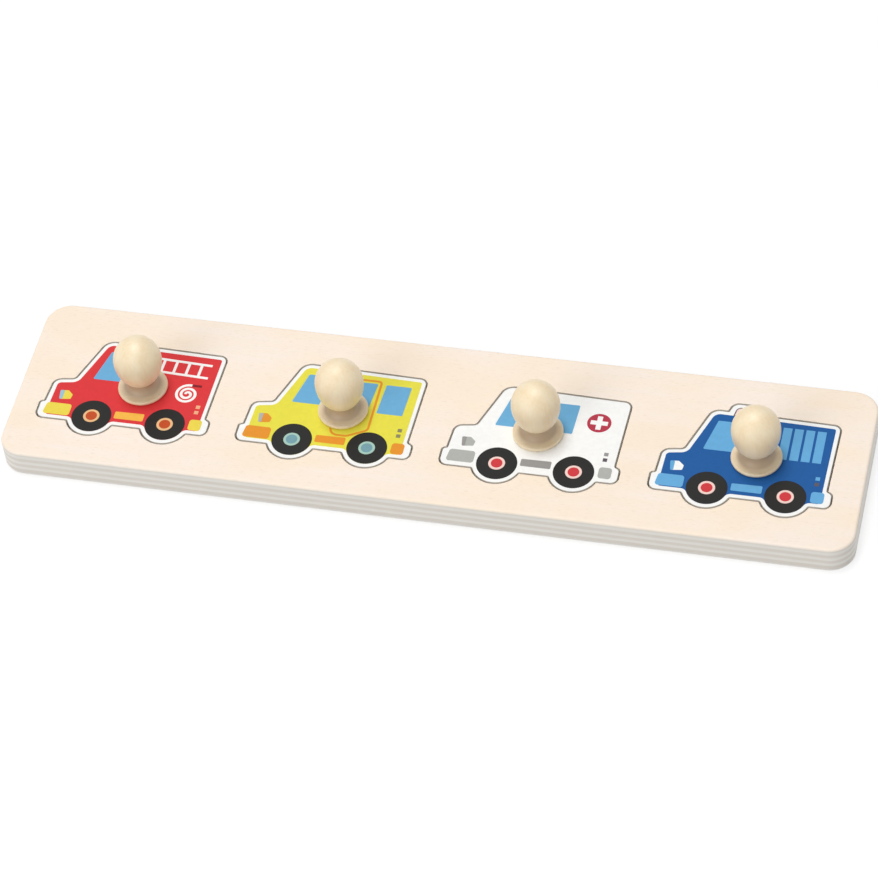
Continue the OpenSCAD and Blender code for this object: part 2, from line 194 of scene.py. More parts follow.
@dataclass(frozen=True)
class Outline:
    """A closed anticlockwise outline of rounded corners.

    A corner that turns by more than arch_degrees is a wheel arch and keeps its whole radius.
    """

    corners: tuple[Corner, ...]
    step_degrees: float = 5.0
    arch_degrees: float = 100.0

    def points(self, grow: float = 0.0) -> list[Point]:
        """Draws the outline with its sides moved out.

        Args:
            grow: How far the sides move out, or in where it is negative.

        Returns:
            The outline's points, as many for one distance as for another.
        """
        found: list[Point] = []
        count = len(self.corners)
        for i, corner in enumerate(self.corners):
            found += self._round(self.corners[i - 1], corner, self.corners[(i + 1) % count], grow)
        return found

    def _round(self, before: Corner, corner: Corner, after: Corner, grow: float) -> list[Point]:
        """Draws one rounded corner.

        Args:
            before: The corner before it.
            corner: The corner to draw.
            after: The corner after it.
            grow: How far the sides move out.

        Returns:
            The points of its arc.
        """
        here = Vector((corner.x, corner.y))
        back, ahead = here - Vector((before.x, before.y)), Vector((after.x, after.y)) - here
        u, v = back.normalized(), ahead.normalized()
        bend = math.atan2(u.x * v.y - u.y * v.x, u.dot(v))
        side = math.copysign(1.0, bend)
        left_u, left_v = Vector((-u.y, u.x)), Vector((-v.y, v.x))
        tip = here - grow * (left_u + left_v) / (1 + u.dot(v))
        half = math.tan(abs(bend) / 2)
        drawn = corner.radius
        if abs(bend) <= math.radians(self.arch_degrees):
            drawn = min(drawn, min(back.length, ahead.length) / 2 / half)
        if drawn <= 0:
            return [(tip.x, tip.y)]
        radius = max(0.0, drawn + side * grow)
        steps = max(1, math.ceil(abs(bend) / math.radians(self.step_degrees)))
        middle = tip - u * radius * half + side * radius * left_u
        arc = []
        for k in range(steps + 1):
            point = middle - side * radius * (Matrix.Rotation(k * bend / steps, 2) @ left_u)
            arc.append((point.x, point.y))
        return arc


def circle(x: float, y: float, radius: float, steps: int = 72) -> list[Point]:
    """Returns the points of a circle round a centre, anticlockwise."""
    turns = [2 * math.pi * k / steps for k in range(steps)]
    return [(x + radius * math.cos(a), y + radius * math.sin(a)) for a in turns]


def rectangle(x0: float, y0: float, x1: float, y1: float) -> list[Point]:
    """Returns the corners of a rectangle, anticlockwise."""
    return [(x0, y0), (x1, y0), (x1, y1), (x0, y1)]


def anticlockwise(points: list[Point]) -> list[Point]:
    """Returns the same closed outline, turned round where it runs clockwise."""
    doubled_area = sum(a[0] * b[1] - a[1] * b[0] for a, b in zip(points, points[1:] + points[:1]))
    return points if doubled_area > 0 else points[::-1]


# Meshes


@dataclass
class Shell:
    """A closed mesh under construction, in millimetres."""

    bm: bmesh.types.BMesh = field(default_factory=bmesh.new)

    def loop(self, points: list[Point], z: float) -> Ring:
        """Adds a ring of points at one height."""
        return [self.bm.verts.new((x, y, z)) for x, y in points]

    def wall(self, lower: Ring, upper: Ring) -> None:
        """Joins two rings that have as many points.

        Args:
            lower: The lower ring.
            upper: The upper ring.
        """
        for i in range(len(lower)):
            j = (i + 1) % len(lower)
            self.bm.faces.new((lower[i], lower[j], upper[j], upper[i]))

    def walls(self, rings: list[Ring], hole: bool = False) -> None:
        """Joins each ring to the next one, and faces inwards round a hole."""
        for lower, upper in zip(rings, rings[1:]):
            self.wall(*((upper, lower) if hole else (lower, upper)))

    def cap(self, loops: list[Ring]) -> None:
        """Fills the flat area inside a ring.

        Args:
            loops: That ring, and then the rings of the area's holes.
        """
        edges = []
        for ring in loops:
            for i, vert in enumerate(ring):
                pair = (vert, ring[(i + 1) % len(ring)])
                edges.append(self.bm.edges.get(pair) or self.bm.edges.new(pair))
        bmesh.ops.triangle_fill(self.bm, use_beauty=True, edges=edges)

    def finish(self, name: str, smooth_degrees: float = 40.0) -> Object:
        """Turns the shell into an object in metres.

        Args:
            name: The object's name.
            smooth_degrees: Edges that turn by more than this stay crisp.

        Returns:
            The new object, linked to the scene.
        """
        bmesh.ops.remove_doubles(self.bm, verts=self.bm.verts, dist=SAME_POINT_MM)
        bmesh.ops.recalc_face_normals(self.bm, faces=self.bm.faces)
        bmesh.ops.scale(self.bm, vec=(MM, MM, MM), verts=self.bm.verts)
        mesh = bpy.data.meshes.new(name)
        self.bm.to_mesh(mesh)
        self.bm.free()
        mesh.shade_smooth()
        mesh.set_sharp_from_angle(angle=math.radians(smooth_degrees))
        piece = bpy.data.objects.new(name, mesh)
        bpy.context.scene.collection.objects.link(piece)
        piece.modifiers.new("flat faces stay flat", "WEIGHTED_NORMAL").keep_sharp = True
        return piece


def rounding(size: float, steps: int = 6) -> list[Point]:
    """Describes a quarter round from a wall to a flat face.

    Args:
        size: The rounding's radius.
        steps: How many facets it has.

    Returns:
        Pairs of the distance inwards from the wall and the distance below the face.
    """
    turns = [math.pi / 2 * k / steps for k in range(steps + 1)]
    return [(size * (1 - math.cos(a)), size * (1 - math.sin(a))) for a in turns]


def lathe(profile: list[Point], steps: int = 96) -> Shell:
    """Turns a profile round the Z axis.

    Args:
        profile: Distances from the axis and heights, from the axis back to the axis.
        steps: How many facets go round.

    Returns:
        The closed shell.
    """
    shell = Shell()
    rings = [
        shell.loop(circle(0, 0, radius, steps) if radius else [(0.0, 0.0)], z)
        for radius, z in profile
    ]
    for lower, upper in zip(rings, rings[1:]):
        if len(lower) == len(upper):
            shell.wall(lower, upper)
            continue
        point, ring = (lower[0], upper) if len(lower) == 1 else (upper[0], lower)
        for i in range(steps):
            shell.bm.faces.new((point, ring[i], ring[(i + 1) % steps]))
    return shell


def set_in_place(
    piece: Object, body: str, node: str, finishes: list[Material]
) -> None:
    """Dresses a piece and sets it on its body in place of its CAD node.

    Args:
        piece: The finished object.
        body: The body that it moves with.
        node: The CAD node that it stands for.
        finishes: Its materials in the order of its faces' indices.
    """
    for material in finishes:
        piece.data.materials.append(material)
    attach(piece, body)
    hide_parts(node)
    LOG.info("%s rides on %s, %d faces", piece.name, body, len(piece.data.polygons))


# Finishes


@dataclass(frozen=True)
class VeneerGrain:
    """Fine long grain of a peeled birch face veneer, which runs along the tray.

    The eye gets a nearly even cream with broad warmer clouds, faint long streaks and short dark
    pores. Birch pores are about 0.1 mm wide, and are drawn wider so that they show.
    """

    cloud_mm: float = 15.0
    cloud_length: float = 2.5
    cloud_limits: Pair = (0.38, 0.62)
    streak_mm: float = 2.6
    streak_length: float = 26.0
    pore_mm: float = 0.32
    pore_length: float = 7.0
    pore_limits: Pair = (0.58, 0.72)

    def clouds(self, tree: Tree, place: Socket) -> Node:
        """Draws the clouds of warmer wood.

        Args:
            tree: The material's node tree.
            place: The place on the piece.

        Returns:
            One inside a cloud, and nothing outside.
        """
        rates = (1 / self.cloud_length, 1.0, 1.0)
        noise = long_noise(tree, place, rates, self.cloud_mm, Detail=2.0)
        low, high = self.cloud_limits
        return add_node(tree, "MapRange", {0: noise, 1: low, 2: high})

    def streaks(self, tree: Tree, place: Socket) -> Node:
        """Draws the long streaks.

        Args:
            tree: The material's node tree.
            place: The place on the piece.

        Returns:
            A value round one half.
        """
        rates = (1 / self.streak_length, 1.0, 1.0)
        look = {"Detail": 4.0, "Roughness": 0.6, "Distortion": 0.4}
        return long_noise(tree, place, rates, self.streak_mm, **look)

    def pores(self, tree: Tree, place: Socket) -> Node:
        """Draws the short pores.

        Args:
            tree: The material's node tree.
            place: The place on the piece.

        Returns:
            One in a pore, and nothing between.
        """
        rates = (1 / self.pore_length, 1.0, 1.0)
        noise = long_noise(tree, place, rates, self.pore_mm, Detail=2.0)
        low, high = self.pore_limits
        return add_node(tree, "MapRange", {0: noise, 1: low, 2: high})


@dataclass(frozen=True)
class SandedBirchPlywood:
    """Birch plywood, sanded and given a thin clear matt lacquer.

    The eye gets a pale cream face with faint long grain, and on the cut edges the plies as
    light and dark bands: long grain shines lighter, end grain drinks lacquer and is darker. Both
    ply colours are drawn pale, the long grain nearly white and paler than the face, as painted
    light on the tray's sides.
    """

    name: str = "birch plywood, sanded, matt lacquer"
    face: str = "#FFF3EB"
    face_warm: str = "#FFEDD7"
    face_streak: str = "#FDECD7"
    pore: str = "#DDC5A2"
    pore_strength: float = 0.3
    # Painted light: both ply colours are drawn pale, the long grain nearly white, to brighten the
    # sides
    long_ply_with_painted_light: str = "#FFFCF5"
    end_ply_with_painted_light: str = "#EDE6DC"
    ply_edges: tuple[float, ...] = (0.0, 0.95, 2.45, 3.8, 5.15, 6.55, 7.95, 9.3, 10.3)
    ply_blend_mm: float = 0.16
    ply_wander_mm: float = 0.3
    ply_wander_length_mm: float = 22.0
    ply_lightness: Pair = (0.1, 0.9)
    fibre_mm: float = 0.45
    fibre_rates: Triple = (0.12, 0.12, 1.0)
    fibre_strength: float = 0.35
    face_limits: Pair = (0.35, 0.8)
    roughness: float = 0.5
    ior: float = 1.5
    lacquer: float = 0.12
    lacquer_roughness: float = 0.3
    relief: Relief = Relief(0.25, 0.04)
    grain: VeneerGrain = VeneerGrain()

    def build(self) -> Material:
        """Makes the material, which tells a face from a cut edge by how it lies in the tray.

        Returns:
            The material.
        """
        material, tree = new_material(self.name)
        place = add_node(tree, "TexCoord").outputs["Object"]
        face, height = self._face(tree, place)
        normal = add_node(tree, "NewGeometry").outputs["True Normal"]
        up = add_node(tree, "SeparateXYZ", {0: normal}).outputs["Z"]
        flat = add_node(tree, "Math", {0: up}, operation="ABSOLUTE")
        low, high = self.face_limits
        limits = {0: flat, 1: low, 2: high}
        on_face = add_node(tree, "MapRange", limits, interpolation_type="SMOOTHSTEP")
        colours = {0: on_face, 6: self._edge(tree, place), 7: face}
        look = {
            "Base Color": add_node(tree, "Mix", colours, data_type="RGBA"),
            "Roughness": self.roughness,
            "IOR": self.ior,
            "Coat Weight": self.lacquer,
            "Coat Roughness": self.lacquer_roughness,
        }
        self.relief.close(tree, height, look)
        return material

    def _face(self, tree: Tree, place: Socket) -> tuple[Node, Node]:
        """Colours the face veneer.

        Args:
            tree: The material's node tree.
            place: The place in the tray.

        Returns:
            The colour, and the height of the grain.
        """
        streaks, pores = self.grain.streaks(tree, place), self.grain.pores(tree, place)
        colour = srgb(self.face)
        faint = add_node(tree, "Math", {0: pores, 1: self.pore_strength}, operation="MULTIPLY")
        for share, over in (
            (self.grain.clouds(tree, place), self.face_warm),
            (streaks, self.face_streak),
            (faint, self.pore),
        ):
            colour = add_node(tree, "Mix", {0: share, 6: colour, 7: srgb(over)}, data_type="RGBA")
        return colour, add_node(tree, "Math", {0: streaks, 1: pores}, operation="SUBTRACT")

    def _edge(self, tree: Tree, place: Socket) -> Node:
        """Colours the cut edges with the plies by height, a little wavy and with fibres, in pale
        ply colours that carry painted light.

        The fibres are drawn much coarser than real ones, so that they show.

        Args:
            tree: The material's node tree.
            place: The place in the tray.

        Returns:
            The colour of the edge.
        """
        scale = 1 / (self.ply_wander_length_mm * MM)
        noise = add_node(tree, "TexNoise", {"Vector": place, "Scale": scale, "Detail": 2.0})
        wander = self.ply_wander_mm * MM
        swing = {0: noise, 1: wander, 2: -wander / 2}
        shift = add_node(tree, "Math", swing, operation="MULTIPLY_ADD")
        height = add_node(tree, "SeparateXYZ", {0: place}).outputs["Z"]
        moved = add_node(tree, "Math", {0: height, 1: shift}, operation="ADD")
        whole = {0: moved, 1: 1 / (self.ply_edges[-1] * MM)}
        share = add_node(tree, "Math", whole, operation="MULTIPLY")
        plies = add_node(tree, "ValToRGB", {0: share})
        stops, elements = self._stops(), plies.color_ramp.elements
        while len(elements) < len(stops):
            elements.new(0.5)
        for element, (where, value) in zip(elements, stops):
            element.position = where
            element.color = (value, value, value, 1.0)
        fibres = long_noise(tree, place, self.fibre_rates, self.fibre_mm, Detail=3.0)
        centred = add_node(tree, "Math", {0: fibres, 1: 0.5}, operation="SUBTRACT")
        sum_up = {0: centred, 1: self.fibre_strength, 2: plies}
        banded = add_node(tree, "Math", sum_up, operation="MULTIPLY_ADD")
        # The plies' bands are their own; their pale colours are partly painted light on the sides
        colours = {0: banded, 6: srgb(self.end_ply_with_painted_light), 7: srgb(self.long_ply_with_painted_light)}
        return add_node(tree, "Mix", colours, data_type="RGBA")

    def _stops(self) -> list[Pair]:
        """Works out where the plies lie.

        Returns:
            Where each ply begins and ends, as a share of the height, with its lightness.
        """
        top, soft, count = self.ply_edges[-1], self.ply_blend_mm, len(self.ply_edges) - 1
        stops = []
        for k, (low, high) in enumerate(zip(self.ply_edges, self.ply_edges[1:])):
            value = self.ply_lightness[(count - 1 - k) % 2]
            stops += [((low + soft) / top, value), ((high - soft) / top, value)]
        return stops


@dataclass(frozen=True)
class TurnedBirch:
    """Birch turned on a lathe from a dowel, and dipped in a clear satin lacquer.

    The eye gets a warmer, yellower wood than the plywood's, with grain that runs up the knob,
    faint year rings and lathe marks, and a broad soft highlight. The cove is painted darker than
    the rim and the egg. That is painted shade for the shade that falls under the egg, and partly
    its own end grain, since it is cut across the grain and drinks the lacquer. Grain, year rings
    and lathe marks are drawn coarser than on the real knob, so that they show. The width of a
    ring or a lathe mark is that of its light or its dark band.
    """

    name: str = "birch, turned, satin lacquer"
    light: str = "#FDEDCC"
    dark: str = "#F6DDB3"
    dark_limits: Pair = (0.3, 1.0)
    # Painted shade: the cove's colour is darker for the shade under the egg, and partly for its
    # own end grain
    cove: str = "#C0A787"
    cove_shade_mm: Pair = (1.1, 6.0)
    cove_shade_blend_mm: float = 1.1
    grain_mm: float = 0.9
    grain_length: float = 9.0
    year_ring_mm: float = 3.2
    year_ring_strength: float = 0.3
    lathe_mark_mm: float = 0.7
    roughness: float = 0.5
    ior: float = 1.5
    lacquer: float = 1.0
    lacquer_roughness: float = 0.48
    relief: Relief = Relief(0.12, 0.03)

    def build(self) -> Material:
        """Makes the material, whose grain follows the knob's own axis.

        Returns:
            The material.
        """
        material, tree = new_material(self.name)
        place = add_node(tree, "TexCoord").outputs["Object"]
        scale = 1 / (self.lathe_mark_mm * MM * WAVE_BANDS)
        marks = {"Vector": place, "Scale": scale, "Distortion": 0.4}
        turned = add_node(tree, "TexWave", marks, bands_direction="Z").outputs["Fac"]
        # The cove's darker colour is painted shade under the egg, and partly end grain
        colours = {0: self._cove_shade_share(tree, place), 6: self._wood(tree, place), 7: srgb(self.cove)}
        look = {
            "Base Color": add_node(tree, "Mix", colours, data_type="RGBA"),
            "Roughness": self.roughness,
            "IOR": self.ior,
            "Coat Weight": self.lacquer,
            "Coat Roughness": self.lacquer_roughness,
        }
        self.relief.close(tree, turned, look)
        return material

    def _wood(self, tree: Tree, place: Socket) -> Node:
        """Colours the wood with its long grain and its year rings.

        Args:
            tree: The material's node tree.
            place: The place on the knob.

        Returns:
            The colour.
        """
        rates = (1.0, 1.0, 1 / self.grain_length)
        along = {"Vector": add_node(tree, "Mapping", {0: place, "Scale": rates})}
        look = {"Detail": 3.0, "Roughness": 0.55, "Distortion": 0.6}
        grain = add_node(tree, "TexNoise", {**along, "Scale": 1 / (self.grain_mm * MM), **look})
        scale = 1 / (self.year_ring_mm * MM * WAVE_BANDS)
        look = {"Scale": scale, "Distortion": 2.5, "Detail": 2.0}
        rings = add_node(tree, "TexWave", {**along, **look}, bands_direction="X").outputs["Fac"]
        sum_up = {0: rings, 1: self.year_ring_strength, 2: grain}
        mixed = add_node(tree, "Math", sum_up, operation="MULTIPLY_ADD")
        low, high = self.dark_limits
        share = add_node(tree, "MapRange", {0: mixed, 1: low, 2: high})
        colours = {0: share, 6: srgb(self.light), 7: srgb(self.dark)}
        return add_node(tree, "Mix", colours, data_type="RGBA")

    def _cove_shade_share(self, tree: Tree, place: Socket) -> Node:
        """Tells where the cove's painted shade goes, between the rim and the egg.

        Args:
            tree: The material's node tree.
            place: The place on the knob.

        Returns:
            One between the rim and the egg, and nothing on either.
        """
        height = add_node(tree, "SeparateXYZ", {0: place}).outputs["Z"]
        over_rim, under_egg = (
            add_node(
                tree,
                "MapRange",
                {0: height, 1: limit * MM, 2: (limit + blend) * MM},
                interpolation_type="SMOOTHSTEP",
            )
            for limit, blend in zip(self.cove_shade_mm, (self.cove_shade_blend_mm, -self.cove_shade_blend_mm))
        )
        return add_node(tree, "Math", {0: over_rim, 1: under_egg}, operation="MULTIPLY")


class Ink(Enum):
    """The inks of the pictures, each by its colour."""

    WHITE = "#FDFDFB"
    TYRE_BLACK = "#1A1A19"
    WINDOW_BLUE = "#6EB0DB"
    FIRE_RED = "#DE373B"
    BUMPER_YELLOW = "#F0DA50"
    AMBER = "#F7BD4C"
    VAN_YELLOW = "#EBE24A"
    ORANGE = "#EA962C"
    PEACH = "#F4B48A"
    HUB_CREAM = "#EFC08A"
    HUB_RUST = "#C44E20"
    HUB_MINT = "#A9CDC0"
    HUB_TEAL = "#76A2AE"
    HUB_PINK = "#F8D8CF"
    HUB_RED = "#D23A40"
    DISC_RED = "#B8364A"
    GREY = "#B4B5B0"
    MIDDLE_GREY = "#9A9896"
    DARK_GREY = "#5E565E"
    OLIVE = "#8E8A62"
    TRUCK_BLUE = "#165A9F"
    PALE_BLUE = "#68AEDF"
    LAMP_BLUE = "#9CC4D8"
    NOZZLE_RED = "#7E1420"


@dataclass(frozen=True)
class ScreenPrint:
    """Opaque ink, screen printed on a white ground and left to cure.

    The eye gets an even colour with a low satin gloss, the veneer's grain showing through as
    relief, and a slight mottle where the ink lies thicker, drawn coarse enough to show.
    """

    grain: VeneerGrain
    mottle_mm: float = 1.8
    mottle_limits: Pair = (0.3, 0.7)
    mottle_strength: float = 0.03
    roughness: float = 0.5
    ior: float = 1.3
    relief: Relief = Relief(0.12, 0.03)

    def build(self, ink: Ink) -> Material:
        """Makes the material of an ink.

        Args:
            ink: The ink.

        Returns:
            The material.
        """
        material, tree = new_material(f"ink, screen printed, {ink.name.lower()}")
        place = add_node(tree, "TexCoord").outputs["Object"]
        look = {"Detail": 3.0, "Roughness": 0.6}
        scale = 1 / (self.mottle_mm * MM)
        noise = add_node(tree, "TexNoise", {"Vector": place, "Scale": scale, **look})
        low, high = self.mottle_limits
        ends = {3: 1 - self.mottle_strength, 4: 1 + self.mottle_strength}
        shade = add_node(tree, "MapRange", {0: noise, 1: low, 2: high, **ends})
        colour = add_node(tree, "HueSaturation", {"Value": shade, "Color": srgb(ink.value)})
        look = {"Base Color": colour, "Roughness": self.roughness, "IOR": self.ior}
        self.relief.close(tree, self.grain.streaks(tree, place), look)
        return material


@dataclass(frozen=True)
class ZincPlatedSteel:
    """A wood screw of drawn steel with bright zinc plating.

    The eye gets a cool grey metal, a little milky, with fine marks round the screw, drawn
    coarser than the real ones so that they show.
    """

    name: str = "steel, drawn, zinc plated"
    colour: str = "#C3C6CA"
    mark_mm: float = 0.25
    mark_length: float = 5.0
    roughness_limits: Pair = (0.26, 0.46)
    relief: Relief = Relief(0.1, 0.02)

    def build(self) -> Material:
        """Makes the material, whose marks run round the screw.

        Returns:
            The material.
        """
        material, tree = new_material(self.name)
        place = add_node(tree, "TexCoord").outputs["Object"]
        rates = (1 / self.mark_length, 1 / self.mark_length, 1.0)
        marks = long_noise(tree, place, rates, self.mark_mm, Detail=2.0)
        low, high = self.roughness_limits
        rough = add_node(tree, "MapRange", {0: marks, 3: low, 4: high})
        look = {"Base Color": srgb(self.colour), "Metallic": 1.0, "Roughness": rough}
        self.relief.close(tree, marks, look)
        return material


@dataclass
class Finishes:
    """The puzzle's materials, each made once."""

    wood: SandedBirchPlywood = SandedBirchPlywood()
    plywood: Material = field(init=False)
    turned: Material = field(init=False)
    steel: Material = field(init=False)
    inks: dict[Ink, Material] = field(default_factory=dict)

    def __post_init__(self) -> None:
        """Makes the wood and the steel."""
        self.plywood = self.wood.build()
        self.turned = TurnedBirch().build()
        self.steel = ZincPlatedSteel().build()

    def ink(self, ink: Ink) -> Material:
        """Makes the material of an ink the first time, and keeps it.

        Args:
            ink: The ink.

        Returns:
            The ink's material.
        """
        if ink not in self.inks:
            self.inks[ink] = ScreenPrint(self.wood.grain).build(ink)
        return self.inks[ink]


# The vehicles' shapes


class Model(Enum):
    """The four vehicles, in their order along the tray, with the names of their CAD bodies."""

    FIRE_ENGINE = "fire_engine"
    YELLOW_VAN = "yellow_van"
    AMBULANCE = "ambulance"
    BLUE_TRUCK = "blue_truck"

    @property
    def number(self) -> int:
        """Its place along the tray, from nought."""
        return list(Model).index(self)


@dataclass(frozen=True)
class VehicleShape:
    """The outline that all four vehicles share, drawn from the centre of the front wheel.

    The blue truck has a beacon on its roof as well. A corner is given by its share of the
    length from the front bumper, its share of the body's height from the sill, and its radius
    as a share of the body's height.
    """

    front_overhang: float = 19.65
    wheelbase: float = 26.8
    rear_overhang: float = 15.15
    body_h: float = 37.3
    sill_drop: float = 2.75
    tyre_r: float = 7.1
    hub_ring_r: float = 2.9
    hub_r: float = 2.0
    border: float = 1.35
    beacon_h: float = 3.9
    beacon_feet: Pair = (0.528, 0.352)
    beacon_tops: Pair = (0.507, 0.373)
    beacon_radii: Pair = (0.02, 0.09)
    arch_degrees: float = 62.0
    arch_fillet: float = 0.12
    roof_rear: Triple = (0.98, 0.973, 0.06)
    roof_front: Triple = (0.263, 1.004, 0.114)
    bonnet: tuple[Triple, ...] = ((0.154, 0.497, 0.063), (0.036, 0.466, 0.076))
    patch_radius: float = 0.013

    @property
    def length(self) -> float:
        """From the front bumper to the rear bumper."""
        return self.front_overhang + self.wheelbase + self.rear_overhang

    @property
    def arch_r(self) -> float:
        """Radius of the outline round a wheel."""
        return self.tyre_r + self.border

    def along(self, share: float) -> float:
        """Returns the place at a share of the length."""
        return share * self.length - self.front_overhang

    def up(self, share: float) -> float:
        """Returns the place at a share of the body's height."""
        return share * self.body_h - self.sill_drop

    def corners(self, *shares: Triple) -> list[Corner]:
        """Returns corners from shares of the length, of the height, and of it as a radius."""
        return [Corner(self.along(x), self.up(y), r * self.body_h) for x, y, r in shares]

    def _arches(self) -> list[Corner]:
        """Works out the arches of both wheels.

        Returns:
            A fillet, the arc and a fillet for each arch.
        """
        angle = math.radians(self.arch_degrees)
        foot = self.arch_r * math.cos(angle)
        join = self.arch_r * math.sin(angle) + (foot - self.sill_drop) / math.tan(angle)
        fillet = self.arch_fillet * self.arch_r
        found = []
        for hub_x in (0, self.wheelbase):
            found += [
                Corner(hub_x - join, -self.sill_drop, fillet),
                Corner(hub_x, -self.arch_r / math.cos(angle), self.arch_r),
                Corner(hub_x + join, -self.sill_drop, fillet),
            ]
        return found

    def _roof(self, share: float) -> float:
        """Returns the height of the roof line at a share of the length."""
        (rear_x, rear_y, _), (front_x, front_y, _) = self.roof_rear, self.roof_front
        return self.up(rear_y + (front_y - rear_y) * (rear_x - share) / (rear_x - front_x))

    def beacon(self, lowered: float = 0.0) -> list[Corner]:
        """Works out the beacon on the roof.

        Args:
            lowered: How far its feet go down into the roof.

        Returns:
            Its corners, from the rear foot to the front one.
        """
        foot_r, top_r = (share * self.body_h for share in self.beacon_radii)
        top_y = self.up(1) + self.beacon_h
        rear, front = (
            Corner(self.along(x), self._roof(x) - lowered, foot_r) for x in self.beacon_feet
        )
        return [rear, *(Corner(self.along(x), top_y, top_r) for x in self.beacon_tops), front]

    def outline(self, model: Model) -> Outline:
        """Draws the outline of a vehicle.

        Args:
            model: The vehicle.

        Returns:
            The outline, from the foot of the front bumper on.
        """
        rear = ((1, 0, 0.06), (1, 0.157, 0.042), (0.968, 0.189, 0.031), self.roof_rear)
        front = (self.roof_front, *self.bonnet, (0.025, 0.189, 0.031), (0, 0.183, 0.039))
        found = self.corners((0, 0, 0.066)) + self._arches() + self.corners(*rear)
        if model is Model.BLUE_TRUCK:
            found += self.beacon()
        return Outline(tuple(found + self.corners(*front)))

    def painted(self) -> Outline:
        """Draws the outline that the coloured area is drawn in from.

        Returns:
            The outline.
        """
        found = self.corners((0.025, 0, 0.06)) + self._arches()
        found += self.corners((0.968, 0, 0.06), self.roof_rear, self.roof_front, *self.bonnet)
        return Outline(tuple(found))

    def patch(self, shares: Shares, radius: float | None = None) -> list[Point]:
        """Returns the outline of a patch from its corners' shares, with small round corners."""
        found = self.corners(*((x, y, radius or self.patch_radius) for x, y in shares))
        return Outline(tuple(found)).points()


# The tray


@dataclass(frozen=True)
class Tray:
    """Two plywood panels: a frame with four openings, and the backing that closes them."""

    shape: VehicleShape
    length: float = 300.0
    depth: float = 71.6
    backing_t: float = 3.8
    frame_t: float = 6.5
    corner_r: float = 9.0
    top_edge_r: float = 1.0
    base_edge_r: float = 0.3
    opening_edge_r: float = 0.15
    fit_gap: float = 0.7
    first_x: float = -120.65
    pitch: float = 72.7
    wheel_y: float = -14.75

    @property
    def top(self) -> float:
        """Height of the tray's upper face."""
        return self.backing_t + self.frame_t

    def place(self, model: Model) -> Point:
        """Returns where a vehicle's front wheel stands."""
        return self.first_x + model.number * self.pitch, self.wheel_y

    def _border(self) -> Outline:
        """Returns the outline of both panels."""
        corners = rectangle(-self.length / 2, -self.depth / 2, self.length / 2, self.depth / 2)
        return Outline(tuple(Corner(x, y, self.corner_r) for x, y in corners))

    def build_backing(self) -> Object:
        """Builds the backing panel, whose lower outer edge is rounded.

        Returns:
            The panel.
        """
        shell, border = Shell(), self._border()
        rings = [
            shell.loop(border.points(-inset), depth)
            for inset, depth in reversed(rounding(self.base_edge_r))
        ]
        rings.append(shell.loop(border.points(), self.backing_t))
        shell.walls(rings)
        shell.cap([rings[0]])
        shell.cap([rings[-1]])
        return shell.finish("backing_panel")

    def build_frame(self) -> Object:
        """Builds the frame panel: its border, its four openings and its two faces.

        Returns:
            The panel.
        """
        shell, border = Shell(), self._border()
        rings = [shell.loop(border.points(), self.backing_t)]
        for inset, depth in rounding(self.top_edge_r):
            rings.append(shell.loop(border.points(-inset), self.top - depth))
        shell.walls(rings)
        bottoms, tops = [rings[0]], [rings[-1]]
        for model in Model:
            x0, y0 = self.place(model)
            outline = self.shape.outline(model)
            levels = [(self.fit_gap, self.backing_t)] + [
                (self.fit_gap + inset, self.top - depth)
                for inset, depth in rounding(self.opening_edge_r, 2)
            ]
            hole = [
                shell.loop([(x + x0, y + y0) for x, y in outline.points(grow)], z)
                for grow, z in levels
            ]
            shell.walls(hole, hole=True)
            bottoms.append(hole[0])
            tops.append(hole[-1])
        shell.cap(bottoms)
        shell.cap(tops)
        return shell.finish("frame_panel")


# The vehicles


@dataclass(frozen=True)
class Block:
    """The plywood block of a vehicle, with the countersunk hole of its screw."""

    thickness: float = 6.3
    edge_r: float = 0.12
    screw_d: float = 3.0
    head_d: float = 6.0
    head_sink: float = 0.4
    screw_gap: float = 0.05
    hole_facets: int = 48

    def build(self, name: str, outline: Outline, knob: Point, base: float) -> Object:
        """Builds the block.

        Args:
            name: The piece's name.
            outline: The vehicle's outline.
            knob: The place of the knob.
            base: Height of the block's underside.

        Returns:
            The block, drawn from the vehicle's front wheel.
        """
        shell, top = Shell(), base + self.thickness
        rings = [
            shell.loop(outline.points(-inset), base + depth)
            for inset, depth in reversed(rounding(self.edge_r, 2))
        ]
        rings.append(shell.loop(outline.points(), top))
        shell.walls(rings)
        narrow, wide = self.screw_d / 2 + self.screw_gap, self.head_d / 2 + self.screw_gap
        sunk = base + self.head_sink
        levels = ((wide, base), (wide, sunk), (narrow, sunk + wide - narrow), (narrow, top))
        hole = [shell.loop(circle(*knob, radius, self.hole_facets), z) for radius, z in levels]
        shell.walls(hole, hole=True)
        shell.cap([rings[0], hole[0]])
        shell.cap([rings[-1], hole[-1]])
        return shell.finish(name)


